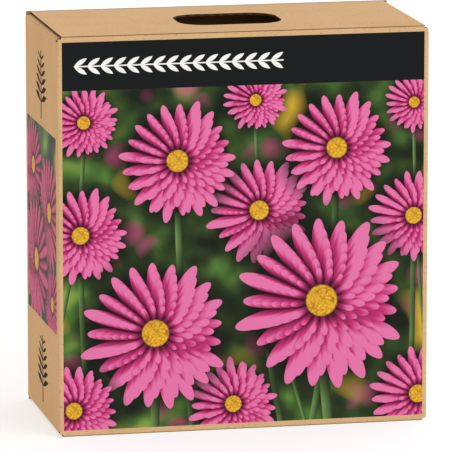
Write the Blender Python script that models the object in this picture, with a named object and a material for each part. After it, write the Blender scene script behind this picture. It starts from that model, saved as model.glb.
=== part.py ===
"""Kraft board carrier carton with a hand hole in its lid.

The carton is one die-cut blank of micro-flute board, folded into a tube and closed by a tuck lid
at the top and the same closure, glued, at the bottom. Each panel between two creases is a rigid
board, so each is an object of its own, and the panels that open have their origin on their crease.

Frame: X is the width, the printed front faces -Y, Z is up, and the carton stands on Z = 0.
"""

import math

import bmesh
import bpy
from mathutils import Vector

# The closed carton, outside
WIDTH = 0.200
DEPTH = 0.096
HEIGHT = 0.214

# The board and how it is creased
BOARD = 0.0012
GAP = 0.0003
SET_BACK = GAP / math.sqrt(2)
CUT_EDGE = 0.0003
FOLD = math.radians(90)

# Closures, top and bottom
LID_INSET = 0.0024
TUCK_CLEARANCE = 0.0005
TUCK_LENGTH = 0.020
TUCK_INSET = 0.001
TUCK_CORNER = 0.010
TUCK_LEAN = math.radians(8)

# Side flaps that fold in under the lid
FLAP_LENGTH = 0.060
FLAP_TAPER = math.radians(15)
FLAP_FRONT_ROOT = 0.003
FLAP_BACK_ROOM = 0.0026
FLAP_CORNER = 0.006

# Hand hole
HOLE_LENGTH = 0.056
HOLE_WIDTH = 0.040
HOLE_CORNER = 0.014
HOLE_CENTRE_Y = -0.004

# Glue flap inside the back wall
GLUE_WIDTH = 0.016
GLUE_END = 0.024
GLUE_TAPER = math.radians(20)

CORNER_STEPS = 6

# Places worked out from the sizes above
SIDE = WIDTH / 2
FRONT = -DEPTH / 2
BACK = DEPTH / 2
LID_SIDE = SIDE - LID_INSET
TUCK_CREASE_Y = BACK - BOARD - TUCK_CLEARANCE
SHOULDER = BOARD + GAP
GLUE_FACE_Y = BACK - BOARD - GAP

X, Y, Z = Vector((1, 0, 0)), Vector((0, 1, 0)), Vector((0, 0, 1))

KRAFT = (0.58, 0.38, 0.20)
KRAFT_SHADE = (0.47, 0.30, 0.15)
PRINT = (0.24, 0.05, 0.12)


def clear_scene():
    """Takes away whatever the new file came with."""
    for item in list(bpy.data.objects):
        bpy.data.objects.remove(item, do_unlink=True)


def board_material(name, colour):
    """Matt, uncoated board of one colour."""
    material = bpy.data.materials.new(name)
    material.use_nodes = True
    shader = material.node_tree.nodes["Principled BSDF"]
    shader.inputs["Base Color"].default_value = (*colour, 1)
    shader.inputs["Roughness"].default_value = 0.85
    shader.inputs["Metallic"].default_value = 0
    material.diffuse_color = (*colour, 1)
    return material


def rounded(corner, before, after, radius):
    """The corner of an outline as an arc, between the two points that come before and after it."""
    corner, before, after = Vector(corner), Vector(before), Vector(after)
    to_before = (before - corner).normalized()
    to_after = (after - corner).normalized()
    half = to_before.angle(to_after) / 2
    centre = corner + (to_before + to_after).normalized() * radius / math.sin(half)
    start = corner + to_before * radius / math.tan(half) - centre
    end = corner + to_after * radius / math.tan(half) - centre
    turn = start.angle_signed(end)
    points = []
    for step in range(CORNER_STEPS + 1):
        angle = -turn * step / CORNER_STEPS
        c, s = math.cos(angle), math.sin(angle)
        points.append(tuple(centre + Vector((c * start.x - s * start.y, s * start.x + c * start.y))))
    return points


def set_back_corner(before, corner, after, first, second):
    """Where a corner of the inner face lies, when its two edges are cut back by first and second."""
    if not first and not second:
        return corner
    edges = (corner - before).normalized(), (after - corner).normalized()
    inward = [Vector((-edge.y, edge.x)) for edge in edges]
    det = inward[0].x * inward[1].y - inward[0].y * inward[1].x
    shift_x = (first * inward[1].y - second * inward[0].y) / det
    shift_y = (second * inward[0].x - first * inward[1].x) / det
    return corner + Vector((shift_x, shift_y))


def inner_outline(outline, mitres):
    """The inner face's outline: each edge in mitres is cut back, so that two boards meet in a mitre."""
    corners = [Vector(point) for point in outline]
    last = len(corners) - 1
    made = []
    for index, corner in enumerate(corners):
        before = corners[index - 1]
        after = corners[(index + 1) % len(corners)]
        edge_before = mitres.get(index - 1 if index else last, 0)
        made.append(set_back_corner(before, corner, after, edge_before, mitres.get(index, 0)))
    return made


def board(name, outline, mitres, origin, across, along, outward, material):
    """A flat board, drawn counter-clockwise as (across, along) points on its outer face.

    mitres says how far the inner face stands back at an edge, by the number of the edge's first
    point. The object's origin is a point on the board's crease.
    """
    inner = inner_outline(outline, mitres)
    mesh = bmesh.new()
    outer_ring = [mesh.verts.new(across * a + along * b) for a, b in outline]
    inner_ring = [mesh.verts.new(across * p.x + along * p.y - outward * BOARD) for p in inner]
    mesh.faces.new(outer_ring)
    mesh.faces.new(reversed(inner_ring))
    count = len(outer_ring)
    for index in range(count):
        after = (index + 1) % count
        mesh.faces.new((outer_ring[after], outer_ring[index], inner_ring[index], inner_ring[after]))
    bmesh.ops.recalc_face_normals(mesh, faces=mesh.faces)
    bmesh.ops.triangulate(mesh, faces=mesh.faces)
    data = bpy.data.meshes.new(name)
    mesh.to_mesh(data)
    mesh.free()
    made = bpy.data.objects.new(name, data)
    made.location = origin
    made.data.materials.append(material)
    bpy.context.scene.collection.objects.link(made)
    return made


def mitre_depth(fold):
    """How far a board's inner face stands back at a crease that is folded by this angle."""
    return BOARD * math.tan(fold / 2)


def front_wall(material):
    """The printed front: full width, with the notches that part the lid's crease from the side flaps."""
    wide, narrow = SIDE - SET_BACK, LID_SIDE
    low, high = SHOULDER, HEIGHT - SHOULDER
    bottom, top = SET_BACK, HEIGHT - SET_BACK
    outline = [
        (-wide, low), (-narrow, low), (-narrow, bottom), (narrow, bottom), (narrow, low), (wide, low),
        (wide, high), (narrow, high), (narrow, top), (-narrow, top), (-narrow, high), (-wide, high),
    ]
    depth = mitre_depth(FOLD)
    return board("front_wall", outline, {2: depth, 5: depth, 8: depth, 11: depth},
                 Vector((0, FRONT, 0)), X, Z, -Y, material)


def back_wall(material):
    """The back: creased to the left wall, and a cut edge at the right, where the seam is."""
    left, right = SIDE - SET_BACK, SIDE
    bottom, top = CUT_EDGE, HEIGHT - CUT_EDGE
    outline = [(-right, bottom), (left, bottom), (left, top), (-right, top)]
    return board("back_wall", outline, {1: mitre_depth(FOLD)},
                 Vector((0, BACK, 0)), -X, Z, Y, material)


def side_wall(name, side, back, material):
    """A narrow wall, creased on all four edges. side is -1 at the left and 1 at the right."""
    bottom, top = SHOULDER + SET_BACK, HEIGHT - SHOULDER - SET_BACK
    front = FRONT + SET_BACK
    outline = [(front, bottom), (back, bottom), (back, top), (front, top)]
    mitres = {edge: mitre_depth(FOLD) for edge in range(4)}
    return board(name, outline, mitres, Vector((side * SIDE, 0, 0)), Y, Z, X * side, material)


def glue_flap(material):
    """The strip that the right wall turns in behind the back wall, where the tube is glued shut."""
    slope = GLUE_WIDTH * math.tan(GLUE_TAPER)
    outline = [
        (SET_BACK, GLUE_END), (GLUE_WIDTH, GLUE_END + slope),
        (GLUE_WIDTH, HEIGHT - GLUE_END - slope), (SET_BACK, HEIGHT - GLUE_END),
    ]
    return board("glue_flap", outline, {3: mitre_depth(FOLD)},
                 Vector((SIDE, GLUE_FACE_Y, 0)), -X, Z, Y, material)


def closing_panel(name, level, outward, material):
    """The broad panel of a closure, creased to the front wall and to its tuck flap."""
    length = TUCK_CREASE_Y - FRONT - SET_BACK
    outline = [(-LID_SIDE, SET_BACK), (LID_SIDE, SET_BACK), (LID_SIDE, length), (-LID_SIDE, length)]
    mitres = {0: mitre_depth(FOLD), 2: mitre_depth(FOLD + TUCK_LEAN)}
    return board(name, outline, mitres, Vector((0, FRONT, level)), X, Y, outward, material)


def tuck_flap(name, level, outward, material):
    """The flap that slides in behind the back wall. It leans inwards, so that it clears the wall."""
    half = LID_SIDE - TUCK_INSET
    tip = [(half, TUCK_LENGTH), (-half, TUCK_LENGTH)]
    root = [(-half, SET_BACK), (half, SET_BACK)]
    outline = root + rounded(tip[0], root[1], tip[1], TUCK_CORNER)
    outline += rounded(tip[1], tip[0], root[0], TUCK_CORNER)
    inward = -Y * math.sin(TUCK_LEAN) - outward * math.cos(TUCK_LEAN)
    facing = Y * math.cos(TUCK_LEAN) - outward * math.sin(TUCK_LEAN)
    return board(name, outline, {0: mitre_depth(FOLD + TUCK_LEAN)},
                 Vector((0, TUCK_CREASE_Y, level)), X, inward, facing, material)


def side_flap(name, side, level, outward, material):
    """A side wall's own flap, tapered towards the lid's crease and cut clear of the tuck flap."""
    slope = FLAP_LENGTH * math.tan(FLAP_TAPER)
    front, back = FRONT + FLAP_FRONT_ROOT, TUCK_CREASE_Y - FLAP_BACK_ROOM
    root = [(SET_BACK, back), (SET_BACK, front)]
    tip = [(FLAP_LENGTH, front + slope), (FLAP_LENGTH, back)]
    outline = root + rounded(tip[0], root[1], tip[1], FLAP_CORNER)
    outline += rounded(tip[1], tip[0], root[0], FLAP_CORNER)
    return board(name, outline, {0: mitre_depth(FOLD)},
                 Vector((side * SIDE, 0, level)), -X * side, Y, outward, material)


def cut_hand_hole(lid):
    """Cuts the finger hole through the lid with a rounded block."""
    half_x, half_y = HOLE_LENGTH / 2, HOLE_WIDTH / 2
    corners = [(-half_x, -half_y), (half_x, -half_y), (half_x, half_y), (-half_x, half_y)]
    outline = []
    for index, corner in enumerate(corners):
        outline += rounded(corner, corners[index - 1], corners[(index + 1) % 4], HOLE_CORNER)
    mesh = bmesh.new()
    ring = [mesh.verts.new((x, y, -BOARD * 2)) for x, y in outline]
    face = mesh.faces.new(ring)
    raised = bmesh.ops.extrude_face_region(mesh, geom=[face])["geom"]
    upper = [item for item in raised if isinstance(item, bmesh.types.BMVert)]
    bmesh.ops.translate(mesh, verts=upper, vec=Z * BOARD * 4)
    bmesh.ops.recalc_face_normals(mesh, faces=mesh.faces)
    data = bpy.data.meshes.new("hand_hole_cutter")
    mesh.to_mesh(data)
    mesh.free()
    cutter = bpy.data.objects.new("hand_hole_cutter", data)
    cutter.location = (0, HOLE_CENTRE_Y, HEIGHT - BOARD / 2)
    cutter.hide_render = True
    cutter.display_type = "WIRE"
    bpy.context.scene.collection.objects.link(cutter)
    cut = lid.modifiers.new("hand_hole", "BOOLEAN")
    cut.operation = "DIFFERENCE"
    cut.solver = "EXACT"
    cut.object = cutter


def carry(parent, child):
    """The child moves with its parent and stays where it is."""
    child.location -= parent.location
    child.parent = parent


def closure(prefix, names, level, outward, material, shade):
    """One end of the carton: the broad panel, its tuck flap and the two side flaps beneath it."""
    panel = closing_panel(names["panel"], level, outward, material)
    tuck = tuck_flap(names["tuck"], level, outward, shade)
    carry(panel, tuck)
    under = level - outward.z * SHOULDER
    for word, side in (("left", -1), ("right", 1)):
        side_flap(f"{prefix}{word}_flap", side, under, outward, shade)
    return panel


def build():
    """Makes the whole carton, closed and standing on its base."""
    clear_scene()
    kraft = board_material("kraft_board", KRAFT)
    shade = board_material("kraft_board_inside", KRAFT_SHADE)
    printed = board_material("printed_board", PRINT)
    front_wall(printed)
    back_wall(kraft)
    side_wall("left_wall", -1, BACK - SET_BACK, kraft)
    side_wall("right_wall", 1, GLUE_FACE_Y - SET_BACK, kraft)
    glue_flap(shade)
    lid = closure("top_", {"panel": "lid_panel", "tuck": "lid_tuck_flap"}, HEIGHT, Z, kraft, shade)
    cut_hand_hole(lid)
    closure("bottom_", {"panel": "bottom_panel", "tuck": "bottom_tuck_flap"}, 0, -Z, kraft, shade)


build()
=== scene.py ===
# %% [markdown]
# # A kraft board carrier carton
# The carton is one die-cut sheet of thin corrugated board, folded into a tube and closed by a
# tuck lid with a finger hole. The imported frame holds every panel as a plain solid. This lesson
# makes the panels again with rounded folds and gives them board, ink and cut-edge finishes.

# %% Load the frame
import math

import bmesh
import bpy
from mathutils import Matrix, Vector


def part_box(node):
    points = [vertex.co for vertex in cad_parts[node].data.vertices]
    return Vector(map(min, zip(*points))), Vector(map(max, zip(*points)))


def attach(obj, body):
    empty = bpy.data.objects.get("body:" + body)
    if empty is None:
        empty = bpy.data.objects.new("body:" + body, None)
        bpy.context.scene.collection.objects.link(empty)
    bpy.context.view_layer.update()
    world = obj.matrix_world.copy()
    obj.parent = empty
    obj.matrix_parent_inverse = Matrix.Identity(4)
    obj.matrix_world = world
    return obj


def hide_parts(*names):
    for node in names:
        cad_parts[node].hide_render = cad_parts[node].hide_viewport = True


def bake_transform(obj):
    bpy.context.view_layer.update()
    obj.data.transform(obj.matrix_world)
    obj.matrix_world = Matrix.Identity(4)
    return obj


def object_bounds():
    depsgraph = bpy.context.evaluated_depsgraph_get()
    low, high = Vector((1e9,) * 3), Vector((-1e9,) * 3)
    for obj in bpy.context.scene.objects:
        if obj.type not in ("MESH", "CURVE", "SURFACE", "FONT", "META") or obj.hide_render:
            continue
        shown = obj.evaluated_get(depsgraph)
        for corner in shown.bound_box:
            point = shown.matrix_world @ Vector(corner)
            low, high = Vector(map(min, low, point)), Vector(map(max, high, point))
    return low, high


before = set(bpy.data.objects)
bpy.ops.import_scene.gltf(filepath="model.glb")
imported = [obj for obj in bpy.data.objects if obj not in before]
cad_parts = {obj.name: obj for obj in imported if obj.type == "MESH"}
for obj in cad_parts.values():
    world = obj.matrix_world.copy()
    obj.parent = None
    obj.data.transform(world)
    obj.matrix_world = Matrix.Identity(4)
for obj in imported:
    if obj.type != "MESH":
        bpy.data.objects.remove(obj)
CAD_LOW, CAD_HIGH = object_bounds()
MM = 0.001

# %% [markdown]
# Every size comes from the frame: the carton's outside from its walls, the lid's inset from the
# lid panel, and the board's thickness from the lid. One number is a choice of finish, the radius
# of a fold, which on thin board is about the board's own thickness.

# %% Sizes read from the frame
SIDE = CAD_HIGH.x
FRONT, BACK = CAD_LOW.y, CAD_HIGH.y
HEIGHT = CAD_HIGH.z
LID_LOW, LID_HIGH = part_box("lid_panel")
BOARD = LID_HIGH.z - LID_LOW.z
LID_SIDE = LID_HIGH.x
FLAP_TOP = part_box("top_left_flap")[1].z
BASE_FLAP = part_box("bottom_left_flap")[0].z
TUCK_Y = LID_HIGH.y
TUCK_LEAN = math.radians(8)
FOLD_RADIUS = 1.5 * MM
HALF_FOLD = math.radians(45)
print(f"carton {SIDE * 2000:.0f} x {(BACK - FRONT) * 1000:.0f} x {HEIGHT * 1000:.0f} mm")

# %% [markdown]
# ## Colours and nodes
# Colours are written as the hex values that a paint or ink chart gives, which are sRGB, and one
# function turns them to the linear values that a shader adds and multiplies. One more function
# adds a node, sets it and links it, so a material reads as a list of steps.

# %% Colour and node helpers
def ink(text, alpha=1.0):
    """A hex colour as linear red, green and blue."""
    parts = [int(text[i:i + 2], 16) / 255 for i in (1, 3, 5)]
    line = [c / 12.92 if c <= 0.04045 else ((c + 0.055) / 1.055) ** 2.4 for c in parts]
    return (*line, alpha)


def add(tree, kind, inputs=(), **settings):
    """Adds a node. inputs are its sockets in order, or by name: a node, a socket, a value or None.
    A mix clamps its own factor, so a range that feeds one needs no clamp."""
    made = tree.nodes.new("ShaderNode" + kind)
    if kind == "MapRange":
        made.clamp = False
    for key, value in settings.items():
        setattr(made, key, value)
    pairs = inputs.items() if isinstance(inputs, dict) else enumerate(inputs)
    for key, value in pairs:
        if value is None:
            continue
        if isinstance(value, bpy.types.Node):
            value = value.outputs[0]
        if isinstance(value, bpy.types.NodeSocket):
            tree.links.new(value, made.inputs[key])
        else:
            made.inputs[key].default_value = value
    return made


def material(name):
    """A new material, with its tree, its shader and the place on the piece in metres."""
    made = bpy.data.materials.new(name)
    made.use_nodes = True
    tree = made.node_tree
    place = add(tree, "TexCoord").outputs["Object"]
    return made, tree, tree.nodes["Principled BSDF"], place


# %% [markdown]
# ## Kraft board
# The liner of the board is unbleached kraft paper: long brown fibres pressed into a matt sheet.
# Up close it has darker and lighter fibres a few tenths of a millimetre wide, and across a hand's
# width it drifts a little in tone. The fibres are drawn about 0.5 mm wide, a little coarser than
# the real ones, so that they show. The mix is a function, because print leaves it bare in places.

# %% Kraft paper colour and tooth
PAPER_GLOSS = 0.12      # paper scatters nearly all of its light, ink or none
BARE_ROUGH, INKED_ROUGH = 0.86, 0.52
LINER = ("#d9b78e", "#c5a071")          # lighter and darker fibres
INNER_LINER = ("#b58d60", "#9c744a")
# dark specks in the paper, and painted shade for the groove along the front creases
FLECK, CREASE_SHADE_INK = "#8a6238", "#4a2c12"


def kraft_colour(tree, place, tones):
    """The liner's colour at a place: cloudy tone, fibres, a few dark specks and painted crease
    shade.
    """
    cloud = add(tree, "TexNoise", {"Vector": place, "Scale": 1 / (28 * MM), "Detail": 3.0})
    grain = add(tree, "Mapping", {"Vector": place, "Scale": (1.0, 1.0, 0.25)})
    fibre = add(tree, "TexNoise", {"Vector": grain, "Scale": 1 / (0.5 * MM), "Detail": 4.0,
                                   "Roughness": 0.7})
    speck = add(tree, "TexNoise", {"Vector": place, "Scale": 1 / (1.1 * MM), "Detail": 2.0})
    tone = add(tree, "MapRange", [cloud, 0.3, 0.7, 0.08, 0.36])
    streak = add(tree, "MapRange", [fibre, 0.25, 0.75, 0.0, 0.55])
    share = add(tree, "Math", [tone, streak], operation="ADD")
    base = add(tree, "MixRGB", [share, ink(tones[0]), ink(tones[1])])
    fleck = add(tree, "MapRange", [speck, 0.58, 0.78, 0.0, 0.45])
    base = add(tree, "MixRGB", [fleck, base, ink(FLECK)])
    return painted_crease_shade(tree, place, base), fibre


def painted_crease_shade(tree, place, colour):
    """Painted shade: a dark line where the lid's and base's creases are pressed in the front edges.
    """
    split = add(tree, "SeparateXYZ", [place])
    middle = FOLD_RADIUS * (1 - math.sqrt(0.5))
    half = HEIGHT / 2
    from_half = add(tree, "Math", [split.outputs[2], half], operation="SUBTRACT")
    rise = add(tree, "Math", [from_half], operation="ABSOLUTE")
    flat = add(tree, "CombineXYZ", [split.outputs[1], rise])
    away = add(tree, "VectorMath", [flat, (FRONT + middle, half - middle, 0.0)],
               operation="DISTANCE").outputs["Value"]
    # painted shade, darkest along the crease's middle where a pressed groove would lie in shadow
    line = add(tree, "MapRange", [away, 0.1 * MM, 0.45 * MM, 0.85, 0.0])
    return add(tree, "MixRGB", [line, colour, ink(CREASE_SHADE_INK)])


def kraft(name, tones):
    """Uncoated kraft liner: fully rough, with a fine tooth."""
    made, tree, shader, place = material(name)
    colour, fibre = kraft_colour(tree, place, tones)
    tree.links.new(colour.outputs[0], shader.inputs["Base Color"])
    shader.inputs["Roughness"].default_value = BARE_ROUGH
    shader.inputs["Specular IOR Level"].default_value = PAPER_GLOSS
    tooth = add(tree, "Bump", {"Strength": 0.25, "Distance": 0.1 * MM, "Height": fibre})
    tree.links.new(tooth.outputs[0], shader.inputs["Normal"])
    return made


KRAFT = kraft("kraft_liner", LINER)
KRAFT_INSIDE = kraft("kraft_inner_liner", INNER_LINER)
print("kraft:", KRAFT.name, KRAFT_INSIDE.name)

# %% [markdown]
# ## Cut edge
# Where a knife has gone through the board, its edge shows a liner, the flutes and the other liner.
# The flutes of this thin board are about 2 mm apart, and a wave draws them. The edge is coloured
# dark brown, nearly black; the slot beside the lid shows it best.

# %% Cut edge of the board
def cut_edge():
    """The cut edge of corrugated board, in dark brown."""
    made, tree, shader, place = material("board_cut_edge")
    turned = add(tree, "Mapping", {"Vector": place, "Rotation": (0.5, 0.6, 0.4)})
    flute = add(tree, "TexWave", {"Vector": turned, "Scale": 1 / (12.6 * MM), "Distortion": 1.0,
                                  "Detail": 1.0})
    colour = add(tree, "MixRGB", [flute, ink("#2e1c0d"), ink("#5b3f24")])
    tree.links.new(colour.outputs[0], shader.inputs["Base Color"])
    shader.inputs["Roughness"].default_value = 0.9
    return made


CUT_EDGE = cut_edge()
print("edge:", CUT_EDGE.name)

# %% [markdown]
# ## Print
# The front and the sides carry a colour picture of pink garden daisies, printed on the kraft with
# a margin left bare. A picture can be drawn by a shader with no image: each flower is a few rings
# of petals, and a ring is a circle whose edge rises and falls with the angle. The angle, times
# the number of petals, gives each petal its own number, and so its own tone and length.

# %% Flowers
# dark gap, shaded petal, lit petal, petal tip
MAGENTA = ("#38071e", "#8c1c4e", "#be3274", "#dd72a6")
DEEP_MAGENTA = ("#260512", "#6d1036", "#a01f50", "#c04c7a")
GOLD = ("#f4c63a", "#a8690f")
HEART, FOREST = "#3d0826", "#0c120a"        # round the eye, and in a flower's shadow
HALO = 1.14     # the shadow round a flower reaches this many times its size


def across_mm(tree, place, horizontal):
    """The place on a wall in millimetres: across, up, and both as a flat vector."""
    split = add(tree, "SeparateXYZ", [place])
    axis = split.outputs["XYZ".index(horizontal)]
    across = add(tree, "Math", [axis, 1 / MM], operation="MULTIPLY")
    up = add(tree, "Math", [split.outputs[2], 1 / MM], operation="MULTIPLY")
    return across, up, add(tree, "CombineXYZ", [across, up])


def nearest_flower(tree, flat, flowers):
    """The flower that a point belongs to: the way from its centre, its size and its seed."""
    away = add(tree, "CombineXYZ", [900.0, 900.0, 0.0])
    size = add(tree, "Value")
    size.outputs[0].default_value = 1.0
    for number, (centre, reach) in enumerate(flowers):
        mine = add(tree, "VectorMath", [flat, (*centre, 0.0)], operation="SUBTRACT")
        far = add(tree, "VectorMath", [mine], operation="LENGTH").outputs["Value"]
        inside = add(tree, "Math", [far, reach * HALO], operation="LESS_THAN")
        # the third part of the vector carries the flower's number
        marked = add(tree, "VectorMath", [mine, (0.0, 0.0, number * 7.3 + 3.1)], operation="ADD")
        away = add(tree, "MixRGB", [inside, away, marked])
        size = add(tree, "Mix", [inside, None, size, reach])
    return away, size


def petal_ring(tree, below, polar, petals, turn, reach, tones):
    """One ring of petals over what is below. polar is radius, angle, grain and seed."""
    radius, angle, grain, seed = polar
    shift = add(tree, "Math", [seed, turn], operation="ADD")
    steps = add(tree, "Math", [angle, petals / math.tau, shift], operation="MULTIPLY_ADD")
    number = add(tree, "Math", [steps], operation="FLOOR")
    number = add(tree, "Math", [number, float(petals)], operation="FLOORED_MODULO")
    side = add(tree, "Math", [steps], operation="FRACT")
    side = add(tree, "Math", [side, 2.0, -1.0], operation="MULTIPLY_ADD")
    side = add(tree, "Math", [side, 2.0], operation="POWER")
    key = add(tree, "Math", [seed, 3.7, number], operation="MULTIPLY_ADD")
    chance = add(tree, "TexWhiteNoise", {"W": key}, noise_dimensions="1D")
    length = add(tree, "Math", [chance.outputs["Value"], reach * 0.16, reach * 0.84],
                 operation="MULTIPLY_ADD")
    tip = add(tree, "Math", [side, -0.42, 1.0], operation="MULTIPLY_ADD")
    edge = add(tree, "Math", [length, tip], operation="MULTIPLY")
    mask = add(tree, "MapRange", [add(tree, "Math", [edge, radius], operation="SUBTRACT"),
                                  -0.004, 0.004, 0.0, 1.0])
    light = add(tree, "Math", [radius, length], operation="DIVIDE")
    light = add(tree, "Math", [side, -0.5, light], operation="MULTIPLY_ADD")
    light = add(tree, "Math", [chance.outputs["Value"], 0.32, light], operation="MULTIPLY_ADD")
    light = add(tree, "Math", [grain, 0.42, light], operation="MULTIPLY_ADD")
    ramp = add(tree, "ValToRGB", [light])
    stops = ramp.color_ramp.elements
    stops[0].position, stops[0].color = 0.40, ink(tones[0])
    stops[1].position, stops[1].color = 1.0, ink(tones[3])
    stops.new(0.62).color = ink(tones[1])
    stops.new(0.82).color = ink(tones[2])
    return add(tree, "MixRGB", [mask, below, ramp])


def flower_bed(tree, below, flat, flowers, tones=MAGENTA, rings=6):
    """Daisies of several sizes, none over another: rings of petals and a golden eye."""
    away, size = nearest_flower(tree, flat, flowers)
    split = add(tree, "SeparateXYZ", [away])
    seed = split.outputs[2]
    level = add(tree, "CombineXYZ", [split.outputs[0], split.outputs[1]])
    radius = add(tree, "Math", [add(tree, "VectorMath", [level], operation="LENGTH")
                                .outputs["Value"], size], operation="DIVIDE")
    angle = add(tree, "Math", [split.outputs[1], split.outputs[0]], operation="ARCTAN2")
    around = add(tree, "VectorMath", [level], operation="NORMALIZE")
    around = add(tree, "VectorMath", {0: around, "Scale": 14.0}, operation="SCALE")
    streak = add(tree, "CombineXYZ", [0.0, 0.0, add(tree, "Math", [radius, seed], operation="ADD")])
    streak = add(tree, "VectorMath", [around, streak], operation="ADD")
    grain = add(tree, "TexNoise", {"Vector": streak, "Scale": 1.0, "Detail": 2.0})
    grain = add(tree, "Math", [grain, 0.5], operation="SUBTRACT")
    shade = add(tree, "MapRange", [radius, 0.85, HALO, 0.8, 0.0])
    colour = add(tree, "MixRGB", [shade, below, ink(FOREST)])
    polar = (radius, angle, grain, seed)
    for ring in range(rings):
        colour = petal_ring(tree, colour, polar, 21 - ring, 0.43 * ring,
                            1.0 - 0.72 * ring / rings, tones)
    pip = add(tree, "TexVoronoi", {"Vector": level, "Scale": 0.75})
    gold = add(tree, "MixRGB", [pip, ink(GOLD[0]), ink(GOLD[1])])
    rim = add(tree, "MapRange", [radius, 0.17, 0.29, 0.7, 0.0])
    colour = add(tree, "MixRGB", [rim, colour, ink(HEART)])
    eye = add(tree, "MapRange", [radius, 0.16, 0.18, 1.0, 0.0])
    return add(tree, "MixRGB", [eye, colour, gold])


# %% [markdown]
# The garden behind the flowers is out of focus. Soft noise a few centimetres across mixes dark
# and light leaf greens, and a broader one lets yellow light through. Round, faint pink spots are
# flowers further off. Stems are bands about a curve, drawn before their flowers.

# %% Garden, stems and leaves
def garden(tree, flat):
    """The blurred green behind the flowers."""
    leaves = add(tree, "TexNoise", {"Vector": flat, "Scale": 0.045, "Detail": 1.5})
    ramp = add(tree, "ValToRGB", [leaves])
    stops = ramp.color_ramp.elements
    stops[0].position, stops[0].color = 0.34, ink("#141e12")
    stops[1].position, stops[1].color = 0.72, ink("#7f9c3f")
    stops.new(0.48).color = ink("#30451f")
    stops.new(0.60).color = ink("#4b7230")
    moved = add(tree, "VectorMath", [flat, (310.0, 95.0, 0.0)], operation="ADD")
    glow = add(tree, "TexNoise", {"Vector": moved, "Scale": 0.028, "Detail": 0.5})
    sun = add(tree, "MapRange", [glow, 0.60, 0.72, 0.0, 0.85])
    colour = add(tree, "MixRGB", [sun, ramp, ink("#e2bd36")])
    spots = add(tree, "TexVoronoi", {"Vector": flat, "Scale": 0.05})
    far = add(tree, "MapRange", [spots, 0.18, 0.42, 0.5, 0.0])
    patch = add(tree, "TexNoise", {"Vector": flat, "Scale": 0.02, "Detail": 0.0})
    here = add(tree, "MapRange", [patch, 0.48, 0.56, 0.0, 0.5])
    spot = add(tree, "Math", [far, here], operation="MINIMUM")
    return add(tree, "MixRGB", [spot, colour, ink("#c2487f")])


def stem(tree, below, across, up, head, bend, width):
    """A green stalk that leaves its flower's head downwards and curves by bend mm in 100 mm."""
    drop = add(tree, "Math", [head[1], up], operation="SUBTRACT")
    curve = add(tree, "Math", [drop, 2.0], operation="POWER")
    middle = add(tree, "Math", [curve, bend / 10000, head[0]], operation="MULTIPLY_ADD")
    off = add(tree, "Math", [across, middle], operation="SUBTRACT")
    wide = add(tree, "Math", [add(tree, "Math", [off], operation="ABSOLUTE"), width],
               operation="DIVIDE")
    band = add(tree, "MapRange", [wide, 0.46, 0.54, 1.0, 0.0])
    lower = add(tree, "MapRange", [drop, 0.0, 1.0, 0.0, 1.0])
    mask = add(tree, "Math", [band, lower], operation="MINIMUM")
    lit = add(tree, "MapRange", [off, -width / 2, width / 2, 0.0, 1.0])
    green = add(tree, "MixRGB", [lit, ink("#6f9152"), ink("#25391d")])
    return add(tree, "MixRGB", [mask, below, green])


def leaf(tree, below, along, aside, length, width, colour):
    """A pointed leaf that starts where along is 0, in a flat colour."""
    share = add(tree, "Math", [along, 1 / length], operation="MULTIPLY")
    rest = add(tree, "Math", [1.0, share], operation="SUBTRACT")
    bulge = add(tree, "Math", [share, rest], operation="MULTIPLY")
    room = add(tree, "Math", [bulge, 2 * width,
                              add(tree, "Math", [aside, -1.0], operation="MULTIPLY")],
               operation="MULTIPLY_ADD")
    mask = add(tree, "MapRange", [room, 0.0, 0.2, 0.0, 1.0])
    return add(tree, "MixRGB", [mask, below, ink(colour)])


# %% [markdown]
# A printed panel is a clean rectangle of ink. Inside it the surface is a little smoother than
# the bare liner, because the ink fills the paper's tooth. The rectangle is the smallest of four
# distances to its sides, which also gives one sharp edge all round.

# %% Panels of ink on kraft
def rectangle(tree, across, up, low, high):
    """1 inside the rectangle from low to high, in mm, and 0 outside."""
    sides = []
    for value, first, last in ((across, low[0], high[0]), (up, low[1], high[1])):
        sides.append(add(tree, "Math", [value, first], operation="SUBTRACT"))
        sides.append(add(tree, "Math", [last, value], operation="SUBTRACT"))
    nearest = sides[0]
    for other in sides[1:]:
        nearest = add(tree, "Math", [nearest, other], operation="MINIMUM")
    return add(tree, "MapRange", [nearest, -0.08, 0.08, 0.0, 1.0])


def finish_print(made, tree, shader, bare, fibre, printed, mask):
    """Joins bare board and ink by a mask, in colour, roughness and tooth."""
    colour = add(tree, "MixRGB", [mask, bare, printed])
    tree.links.new(colour.outputs[0], shader.inputs["Base Color"])
    shader.inputs["Specular IOR Level"].default_value = PAPER_GLOSS
    rough = add(tree, "MapRange", [mask, 0.0, 1.0, BARE_ROUGH, INKED_ROUGH], clamp=True)
    tree.links.new(rough.outputs[0], shader.inputs["Roughness"])
    tooth = add(tree, "Bump", {"Strength": 0.2, "Distance": 0.1 * MM, "Height": fibre})
    tree.links.new(tooth.outputs[0], shader.inputs["Normal"])
    return made


# %% [markdown]
# ## Front print
# The front has a near-black band across its top with a small laurel branch in white, and the
# flower picture below it. The flowers lie along a rising diagonal, the biggest low on the right.
# The laurel is one leaf, repeated along the band by a modulo and mirrored by an absolute value.

# %% Front print
PRINT_SIDE, PRINT_LOW, PRINT_HIGH = 97.4, 3.4, 210.7
BAND_LOW, BAND_INK, LAUREL_INK = 185.0, "#0e1113", "#eef0ee"
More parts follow.
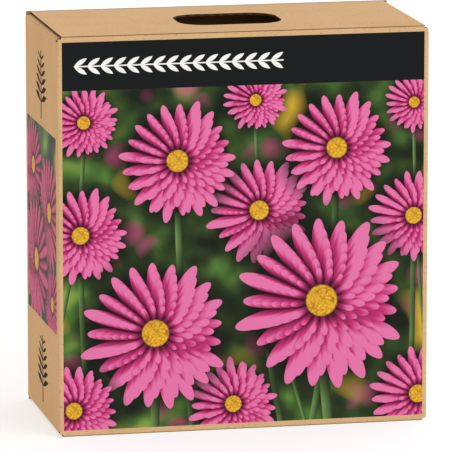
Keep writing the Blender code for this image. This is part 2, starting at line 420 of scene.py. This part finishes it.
# centre and size of each flower, in three beds from the back to the front
FRONT_BEDS = (
    (((8.0, 118.0), 30.0), ((-88.0, 108.0), 27.0), ((92.0, 112.0), 26.0), ((-6.0, 14.0), 26.0),
     ((-86.0, 168.0), 20.0), ((6.0, 177.0), 18.0), ((92.0, 173.0), 17.0)),
    (((-48.0, 54.0), 42.0), ((50.0, 150.0), 32.0), ((95.0, 15.0), 28.0)),
    (((42.0, 68.0), 49.0), ((-36.0, 146.0), 34.0), ((-92.0, 14.0), 26.0)),
)


def laurel(tree, below, across, up):
    """A white laurel branch along the band: a stalk and pairs of leaves, 7 mm apart."""
    level = (BAND_LOW + PRINT_HIGH) / 2
    height = add(tree, "Math", [up, level], operation="SUBTRACT")
    above = add(tree, "Math", [height], operation="ABSOLUTE")
    cell = add(tree, "Math", [across, 7.0], operation="FLOORED_MODULO")
    leaning = math.radians(32)
    c, s = math.cos(leaning), math.sin(leaning)
    along = add(tree, "Math", [cell, c, add(tree, "Math", [above, s], operation="MULTIPLY")],
                operation="MULTIPLY_ADD")
    aside = add(tree, "Math", [cell, -s, add(tree, "Math", [above, c], operation="MULTIPLY")],
                operation="MULTIPLY_ADD")
    aside = add(tree, "Math", [aside], operation="ABSOLUTE")
    drawn = leaf(tree, below, along, aside, 8.2, 2.6, LAUREL_INK)
    stalk = add(tree, "MapRange", [above, 0.25, 0.45, 1.0, 0.0])
    drawn = add(tree, "MixRGB", [stalk, drawn, ink(LAUREL_INK)])
    part = rectangle(tree, across, up, (-91.0, level - 6.0), (21.0, level + 6.0))
    return add(tree, "MixRGB", [part, below, drawn])


def front_print():
    """The whole front: bare margin, picture, band and branch."""
    made, tree, shader, place = material("printed_front_liner")
    bare, fibre = kraft_colour(tree, place, LINER)
    across, up, flat = across_mm(tree, place, "X")
    picture = garden(tree, flat)
    for number, (centre, size) in enumerate(sum(FRONT_BEDS, ())):
        picture = stem(tree, picture, across, up, centre, 9 - 5 * (number % 5), size * 0.11)
    for bed in FRONT_BEDS:
        picture = flower_bed(tree, picture, flat, bed)
    band = rectangle(tree, across, up, (-PRINT_SIDE - 9, BAND_LOW), (PRINT_SIDE + 9, PRINT_HIGH))
    picture = add(tree, "MixRGB", [band, picture, ink(BAND_INK)])
    picture = laurel(tree, picture, across, up)
    mask = rectangle(tree, across, up, (-PRINT_SIDE, PRINT_LOW), (PRINT_SIDE, PRINT_HIGH))
    return finish_print(made, tree, shader, bare, fibre, picture, mask)


FRONT_PRINT = front_print()
print("front print nodes:", len(FRONT_PRINT.node_tree.nodes))

# %% [markdown]
# ## Side print
# Each narrow side has an upright picture in the middle and a dark fern frond above and below it.
# A frond is one leaf, repeated up its stalk by a modulo, made smaller row by row, and mirrored
# about its middle. It's printed straight on the kraft, so the fibres still show around it.

# %% Side print
SIDE_HALF, SIDE_LOW, SIDE_HIGH = 43.0, 54.0, 159.0
FERN_INK = "#2a1a0c"
FERN_ROW, FERN_ROWS, FERN_STALK = 4.6, 6, 9.0       # mm apart, how many, and mm of bare stalk
FERN_TOP = FERN_STALK + FERN_ROWS * FERN_ROW


def fern(tree, below, across, up, foot):
    """A fern frond, 37 mm high, with its foot at that height: rows of leaves, shorter upwards."""
    height = add(tree, "Math", [up, foot + FERN_STALK], operation="SUBTRACT")
    off = add(tree, "Math", [across], operation="ABSOLUTE")
    cell = add(tree, "Math", [height, FERN_ROW], operation="FLOORED_MODULO")
    row = add(tree, "Math", [add(tree, "Math", [height, FERN_ROW], operation="DIVIDE")],
              operation="FLOOR")
    grown = add(tree, "MapRange", [row, 0.0, FERN_ROWS - 1.0, 1.0, 0.42])
    lean = math.radians(20)
    c, s = math.cos(lean), math.sin(lean)
    along = add(tree, "Math", [off, c, add(tree, "Math", [cell, s], operation="MULTIPLY")],
                operation="MULTIPLY_ADD")
    aside = add(tree, "Math", [off, -s, add(tree, "Math", [cell, c], operation="MULTIPLY")],
                operation="MULTIPLY_ADD")
    along = add(tree, "Math", [along, grown], operation="DIVIDE")
    aside = add(tree, "Math", [add(tree, "Math", [aside], operation="ABSOLUTE"), grown],
                operation="DIVIDE")
    leaves = leaf(tree, below, along, aside, 22.0, 3.9, FERN_INK)
    crown = rectangle(tree, across, up, (-26.0, foot + FERN_STALK),
                      (26.0, foot + FERN_TOP))
    below = add(tree, "MixRGB", [crown, below, leaves])
    stalk = add(tree, "MapRange", [off, 1.0, 1.2, 1.0, 0.0])
    part = rectangle(tree, across, up, (-5.0, foot),
                     (5.0, foot + FERN_TOP))
    mask = add(tree, "Math", [stalk, part], operation="MINIMUM")
    return add(tree, "MixRGB", [mask, below, ink(FERN_INK)])


def side_print(name, beds):
    """A side: bare kraft, two fronds and the upright picture between them."""
    made, tree, shader, place = material(name)
    bare, fibre = kraft_colour(tree, place, LINER)
    across, up, flat = across_mm(tree, place, "Y")
    picture = garden(tree, flat)
    for centre, size in sum(beds, ()):
        picture = stem(tree, picture, across, up, centre, 8, size * 0.12)
    for bed in beds:
        picture = flower_bed(tree, picture, flat, bed, DEEP_MAGENTA)
    bare = fern(tree, bare, across, up, 163.0)
    bare = fern(tree, bare, across, up, 9.0)
    mask = rectangle(tree, across, up, (-SIDE_HALF, SIDE_LOW), (SIDE_HALF, SIDE_HIGH))
    return finish_print(made, tree, shader, bare, fibre, picture, mask)


SIDE_BEDS = ((((25.0, 134.0), 27.0), ((-30.0, 68.0), 24.0)), (((-22.0, 116.0), 32.0),),
             (((17.0, 84.0), 36.0),))
MIRRORED_BEDS = tuple(tuple(((-x, z), size) for (x, z), size in bed) for bed in SIDE_BEDS)
LEFT_PRINT = side_print("printed_left_liner", SIDE_BEDS)
RIGHT_PRINT = side_print("printed_right_liner", MIRRORED_BEDS)
print("side print nodes:", len(LEFT_PRINT.node_tree.nodes))

# %% [markdown]
# ## Making a panel
# A panel starts as the flat outline of its outer face. Lines are cut across it near each fold,
# the strip beyond them is rolled round the fold, and the sheet is given the board's thickness
# inwards. Rolling keeps the paper's length, as bending does, and two panels that are both rolled
# by half the fold meet in one smooth round corner.

# %% Cut, roll and thicken
ARC_STEPS = 5
SAME_PLACE = 1e-7       # metres, far below any size here
TURN = {"right": (1, 0), "left": (-1, 0), "top": (0, 1), "bottom": (0, -1)}


def roll(sheet, side, edge, half_fold):
    """Bends the strip next to an edge back by half_fold. The folded corner lies edge that way."""
    length = FOLD_RADIUS * half_fold
    way = Vector((*TURN[side], 0))
    begin = edge - FOLD_RADIUS * math.tan(half_fold)
    for step in range(ARC_STEPS):
        line = way * (begin + length * step / ARC_STEPS)
        bmesh.ops.bisect_plane(sheet, geom=sheet.verts[:] + sheet.edges[:] + sheet.faces[:],
                               dist=SAME_PLACE, plane_co=line, plane_no=way)
    for vertex in sheet.verts:
        past = vertex.co.dot(way) - begin
        if past > SAME_PLACE and vertex.co.z > -SAME_PLACE:
            angle = min(past / length, 1.0) * half_fold
            vertex.co += way * (FOLD_RADIUS * math.sin(angle) - past)
            vertex.co.z = -FOLD_RADIUS * (1 - math.cos(angle))


def flat_sheet(outline, hole=()):
    """A flat face from an outline, with a hole in it if one is given."""
    sheet = bmesh.new()
    edges = []
    for points in filter(len, (outline, hole)):
        ring = [sheet.verts.new((x, y, 0)) for x, y in points]
        edges += [sheet.edges.new((ring[i - 1], ring[i])) for i in range(len(ring))]
    if len(hole):
        bmesh.ops.triangle_fill(sheet, use_beauty=True, edges=edges)
    else:
        bmesh.ops.contextual_create(sheet, geom=edges)
    for face in sheet.faces:
        if face.normal.z < 0:
            face.normal_flip()
    return sheet


def thicken(sheet, depth):
    """Gives a sheet its thickness, against its normals."""
    sheet.normal_update()
    inwards = {vertex.co.to_tuple(7): -vertex.normal for vertex in sheet.verts}
    copied = bmesh.ops.extrude_face_region(sheet, geom=sheet.faces[:])["geom"]
    for vertex in copied:
        if isinstance(vertex, bmesh.types.BMVert):
            vertex.co += inwards[vertex.co.to_tuple(7)] * depth


def panel(name, outline, folds, axes, origin, node, body, outer, inner, hole=()):
    """A finished panel in place of a CAD node. axes are across, along and outward."""
    sheet = flat_sheet(outline, hole)
    for side, edge, half_fold in folds:
        roll(sheet, side, edge, half_fold)
    thicken(sheet, BOARD)
    across, along, outward = (Vector(axis) for axis in axes)
    basis = Matrix((across, along, outward)).transposed().to_4x4()
    place = Matrix.Translation(origin) @ basis
    bmesh.ops.transform(sheet, matrix=place, verts=sheet.verts)
    bmesh.ops.recalc_face_normals(sheet, faces=sheet.faces)
    for face in sheet.faces:
        turned = face.normal.dot(outward)
        face.material_index = 0 if turned > 0.3 else (1 if turned < -0.3 else 2)
        face.smooth = abs(turned) > 0.3
    mesh = bpy.data.meshes.new(name)
    sheet.to_mesh(mesh)
    sheet.free()
    for finish in (outer, inner, CUT_EDGE):
        mesh.materials.append(finish)
    mesh.set_sharp_from_angle(angle=math.radians(35))
    made = bpy.data.objects.new(name, mesh)
    bpy.context.scene.collection.objects.link(made)
    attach(made, body)
    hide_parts(node)
    print(f"{name}: {len(mesh.polygons)} faces")
    return made


# %% [markdown]
# ## Walls
# The front wall ends in a narrow strip at each side, and in notches where the lid's crease stops
# short of the corner. All four walls roll into each other at the corners, apart from the right
# rear one, where the back wall's cut edge covers the seam.

# %% Four walls and the glue flap
def wrapped(half):
    """How much further a sheet reaches along an edge that is rolled, so that it just meets."""
    return FOLD_RADIUS * (half - math.tan(half))


REACH = SIDE + wrapped(HALF_FOLD)
TOP, BOTTOM = HEIGHT + wrapped(HALF_FOLD), -wrapped(HALF_FOLD)
front_outline = [
    (-REACH, BASE_FLAP), (-LID_SIDE, BASE_FLAP), (-LID_SIDE, BOTTOM), (LID_SIDE, BOTTOM),
    (LID_SIDE, BASE_FLAP), (REACH, BASE_FLAP), (REACH, FLAP_TOP), (LID_SIDE, FLAP_TOP),
    (LID_SIDE, TOP), (-LID_SIDE, TOP), (-LID_SIDE, FLAP_TOP), (-REACH, FLAP_TOP),
]
panel("front_panel", front_outline,
      [("left", SIDE, HALF_FOLD), ("right", SIDE, HALF_FOLD), ("top", HEIGHT, HALF_FOLD),
       ("bottom", 0.0, HALF_FOLD)],
      ((1, 0, 0), (0, 0, 1), (0, -1, 0)), (0, FRONT, 0), "front_wall", "carton",
      FRONT_PRINT, KRAFT_INSIDE)

WALL_LOW, WALL_HIGH = BASE_FLAP + FOLD_RADIUS, FLAP_TOP - FOLD_RADIUS
RIM = BACK - 2.5 * MM


def side_outline(first, last):
    """A side wall from first to last across, with its four corners notched for the folds."""
    low, high = BASE_FLAP - wrapped(HALF_FOLD), FLAP_TOP + wrapped(HALF_FOLD)
    return [(first, WALL_LOW), (-RIM, WALL_LOW), (-RIM, low), (RIM, low), (RIM, WALL_LOW),
            (last, WALL_LOW), (last, WALL_HIGH), (RIM, WALL_HIGH), (RIM, high), (-RIM, high),
            (-RIM, WALL_HIGH), (first, WALL_HIGH)]


GLUE_LOW, GLUE_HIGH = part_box("glue_flap")
DEEP = BACK + wrapped(HALF_FOLD)
ends = [("top", FLAP_TOP, HALF_FOLD), ("bottom", -BASE_FLAP, HALF_FOLD)]
panel("left_panel", side_outline(-DEEP, DEEP),
      [("left", BACK, HALF_FOLD), ("right", BACK, HALF_FOLD), *ends],
      ((0, -1, 0), (0, 0, 1), (-1, 0, 0)), (-SIDE, 0, 0), "left_wall", "carton",
      LEFT_PRINT, KRAFT_INSIDE)
seam = GLUE_HIGH.y + wrapped(HALF_FOLD)
panel("right_panel", side_outline(-DEEP, seam),
      [("left", BACK, HALF_FOLD), ("right", GLUE_HIGH.y, HALF_FOLD), *ends],
      ((0, 1, 0), (0, 0, 1), (1, 0, 0)), (SIDE, 0, 0), "right_wall", "carton",
      RIGHT_PRINT, KRAFT_INSIDE)
back_low, back_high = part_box("back_wall")
panel("back_panel", [(-SIDE, back_low.z), (REACH, back_low.z), (REACH, back_high.z),
                     (-SIDE, back_high.z)],
      [("right", SIDE, HALF_FOLD)], ((-1, 0, 0), (0, 0, 1), (0, 1, 0)), (0, BACK, 0),
      "back_wall", "carton", KRAFT, KRAFT_INSIDE)
taper = (GLUE_HIGH.x - GLUE_LOW.x) * math.tan(math.radians(20))
panel("glue_seam", [(-REACH, GLUE_LOW.z), (-GLUE_LOW.x, GLUE_LOW.z + taper),
                    (-GLUE_LOW.x, GLUE_HIGH.z - taper), (-REACH, GLUE_HIGH.z)],
      [("left", SIDE, HALF_FOLD)], ((-1, 0, 0), (0, 0, 1), (0, 1, 0)), (0, GLUE_HIGH.y, 0),
      "glue_flap", "carton", KRAFT, KRAFT_INSIDE)

# %% [markdown]
# ## Lid and base
# The lid and the base are alike: a panel creased to the front wall and a tuck flap at its far
# end. The tuck flap leans in by 8 degrees, so its fold is a little more than a right angle. The
# lid has the finger hole. Rounded corners let the free ends of the flaps slide past the walls.

# %% Rounded corners and the finger hole
def corner(x, y, radius, start, steps=6):
    """Points of a quarter circle round a centre, from a start angle in degrees."""
    angles = [math.radians(start + 90 * i / steps) for i in range(steps + 1)]
    return [(x + radius * math.cos(t), y + radius * math.sin(t)) for t in angles]


def rounded_hole(wide, high, radius, centre_y, steps=10):
    """A rounded rectangle about the lid's middle line."""
    x, y = wide / 2 - radius, high / 2 - radius
    points = []
    for sx, sy, start in ((1, 1, 0), (-1, 1, 90), (-1, -1, 180), (1, -1, 270)):
        points += corner(sx * x, centre_y + sy * y, radius, start, steps)
    return points


TUCK_FOLD = (math.radians(90) + TUCK_LEAN) / 2
FINGER_HOLE = rounded_hole(56 * MM, 40 * MM, 14 * MM, -4 * MM)
near, far = -(-FRONT + wrapped(HALF_FOLD)), TUCK_Y + wrapped(TUCK_FOLD)
panel("lid_top", [(-LID_SIDE, near), (LID_SIDE, near), (LID_SIDE, far), (-LID_SIDE, far)],
      [("bottom", -FRONT, HALF_FOLD), ("top", TUCK_Y, TUCK_FOLD)],
      ((1, 0, 0), (0, 1, 0), (0, 0, 1)), (0, 0, HEIGHT), "lid_panel", "lid",
      KRAFT, KRAFT_INSIDE, FINGER_HOLE)
panel("base_panel", [(-LID_SIDE, -far), (LID_SIDE, -far), (LID_SIDE, -near), (-LID_SIDE, -near)],
      [("top", -FRONT, HALF_FOLD), ("bottom", TUCK_Y, TUCK_FOLD)],
      ((1, 0, 0), (0, -1, 0), (0, 0, -1)), (0, 0, 0), "bottom_panel", "carton",
      KRAFT, KRAFT_INSIDE)

TUCK_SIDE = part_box("lid_tuck_flap")[1].x
TUCK_END, TUCK_ROUND = 19.9 * MM, 10 * MM
tuck = [(TUCK_SIDE, wrapped(TUCK_FOLD)), (-TUCK_SIDE, wrapped(TUCK_FOLD))]
tuck += corner(-TUCK_SIDE + TUCK_ROUND, -TUCK_END + TUCK_ROUND, TUCK_ROUND, 180)
tuck += corner(TUCK_SIDE - TUCK_ROUND, -TUCK_END + TUCK_ROUND, TUCK_ROUND, 270)
c, s = math.cos(TUCK_LEAN), math.sin(TUCK_LEAN)
panel("lid_tuck", tuck, [("top", 0.0, TUCK_FOLD)], ((-1, 0, 0), (0, s, c), (0, c, -s)),
      (0, TUCK_Y, HEIGHT), "lid_tuck_flap", "lid", KRAFT, KRAFT_INSIDE)
panel("base_tuck", tuck, [("top", 0.0, TUCK_FOLD)], ((1, 0, 0), (0, s, -c), (0, c, s)),
      (0, TUCK_Y, 0), "bottom_tuck_flap", "carton", KRAFT, KRAFT_INSIDE)

# %% [markdown]
# ## Side flaps
# A flap at the top and bottom of each side wall lies under the lid or over the base. Its front
# edge tapers, so that it clears the lid's crease when it folds in first.

# %% Side flaps
def flap(node, body, turned):
    """A side flap, from its CAD node's box. turned is 1 for the top and -1 for the bottom."""
    low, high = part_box(node)
    right = high.x > SIDE / 2
    root = REACH        # rolled about the fold, it reaches the side
    free = min(abs(low.x), abs(high.x))
    slope = (root - free) * math.tan(math.radians(15))
    points = [(root, low.y), (root, high.y), (free, high.y), (free, low.y + slope)]
    if not right:
        points = [(-x, y) for x, y in points]
    points = [(x, y * turned) for x, y in points]
    level = high.z if turned > 0 else low.z
    panel(node + "_board", points, [("right" if right else "left", SIDE, HALF_FOLD)],
          ((1, 0, 0), (0, turned, 0), (0, 0, turned)), (0, 0, level), node, body,
          KRAFT, KRAFT_INSIDE)


for side in ("left", "right"):
    flap(f"top_{side}_flap", f"{side}_flap", 1)
    flap(f"bottom_{side}_flap", "carton", -1)

# %% [markdown]
# ## Creases that open
# A crease breaks the board's flutes but not its outer paper, which bends. Here each crease that
# opens has a strip of that paper inside the boards, where it is hidden while the carton is shut.

# %% Paper strips round the creases
CREASE_DEPTH, CREASE_PAPER, CREASE_HOLD = 0.3 * MM, 0.25 * MM, 1.0 * MM


def crease(name, still, moving, corner_at, first, second, along, reach):
    """A strip round a fold. first and second are the ways that its two boards face."""
    first, second, along = Vector(first), Vector(second), Vector(along)
    middle = Vector(corner_at) - FOLD_RADIUS * (first + second)
    radius = FOLD_RADIUS - CREASE_DEPTH
    angles = [math.radians(90) * i / 8 for i in range(9)]
    line = [middle + radius * (math.cos(t) * first + math.sin(t) * second) for t in angles]
    line = [line[0] - CREASE_HOLD * second, *line, line[-1] - CREASE_HOLD * first]
    strip = bmesh.new()
    rows = [[strip.verts.new(point + along * end) for end in reach] for point in line]
    for one, two in zip(rows, rows[1:]):
        strip.faces.new((one[0], two[0], two[1], one[1]))
    strip.faces.ensure_lookup_table()
    strip.normal_update()
    if strip.faces[0].normal.dot(first) < 0:
        bmesh.ops.reverse_faces(strip, faces=strip.faces)
    thicken(strip, CREASE_PAPER)
    bmesh.ops.recalc_face_normals(strip, faces=strip.faces)
    mesh = bpy.data.meshes.new(name)
    strip.to_mesh(mesh)
    strip.free()
    mesh.materials.append(KRAFT)
    made = bpy.data.objects.new(name, mesh)
    bpy.context.scene.collection.objects.link(made)
    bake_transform(made)
    print(f"{name}: bends between {still} and {moving}")


crease("lid_crease", "carton", "lid", (0, FRONT, HEIGHT), (0, -1, 0), (0, 0, 1), (1, 0, 0),
       (-LID_SIDE + 0.3 * MM, LID_SIDE - 0.3 * MM))
for side, way in (("left", -1), ("right", 1)):
    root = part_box(f"top_{side}_flap")
    crease(f"{side}_flap_crease", "carton", f"{side}_flap", (way * SIDE, 0, FLAP_TOP),
           (way, 0, 0), (0, 0, 1), (0, 1, 0), (root[0].y + 0.5 * MM, root[1].y - 0.5 * MM))

# %% [markdown]
# ## Studio
# A white sweep under large soft lights, as catalogue goods are shown. Most of the light comes
# from all around, so shadows stay close to the carton. A broad lamp at the upper right makes
# the top and front brighter than the left side.

# %% Floor, light and camera
FLOOR_GAP = 0.05 * MM       # keeps the floor and the base from sharing one plane
scene = bpy.context.scene
sweep = bmesh.new()
bmesh.ops.create_grid(sweep, x_segments=1, y_segments=1, size=6.0,
                      matrix=Matrix.Translation((0, 0, -FLOOR_GAP)))
floor_mesh = bpy.data.meshes.new("floor")
sweep.to_mesh(floor_mesh)
sweep.free()
floor = bpy.data.objects.new("floor", floor_mesh)
scene.collection.objects.link(floor)
paper, tree, shader, place = material("white_studio_paper")
cloud = add(tree, "TexNoise", {"Vector": place, "Scale": 900.0, "Detail": 2.0})
colour = add(tree, "MixRGB", [cloud, ink("#acb0b4"), ink("#b1b5b8")])
tree.links.new(colour.outputs[0], shader.inputs["Base Color"])
shader.inputs["Roughness"].default_value = 0.9
shader.inputs["Emission Color"].default_value = (1, 1, 1, 1)
shader.inputs["Emission Strength"].default_value = 0.60
floor_mesh.materials.append(paper)

world = bpy.data.worlds.new("white_room")
scene.world = world
world.use_nodes = True
sky = world.node_tree
toward = add(sky, "SeparateXYZ", [add(sky, "TexCoord").outputs["Generated"]])
share = add(sky, "MapRange", [toward.outputs[0], -0.9, 0.3, 0.0, 1.0])
light = add(sky, "MixRGB", [share, (0.62, 0.45, 0.29, 1), (1, 1, 1, 1)])
sky.links.new(light.outputs[0], sky.nodes["Background"].inputs["Color"])
sky.nodes["Background"].inputs["Strength"].default_value = 1.06

lamp = bpy.data.objects.new("key", bpy.data.lights.new("key", "AREA"))
lamp.data.shape, lamp.data.size, lamp.data.energy = "DISK", 2.2, 22.0
lamp.location = (1.6, -1.9, 2.4)
lamp.rotation_euler = (Vector((0, 0, 0.1)) - lamp.location).to_track_quat("-Z", "Y").to_euler()
scene.collection.objects.link(lamp)

camera = bpy.data.objects.new("camera", bpy.data.cameras.new("camera"))
camera.location = (-0.57796, -2.70672, 0.62167)
camera.rotation_euler = (math.radians(90 - 10.654), 0, math.radians(-12.06))
camera.data.lens, camera.data.sensor_width, camera.data.clip_end = 417.6, 36.0, 30.0
scene.collection.objects.link(camera)
scene.camera = camera
scene.view_settings.view_transform = "Standard"
print("camera at", tuple(round(v, 3) for v in camera.location))
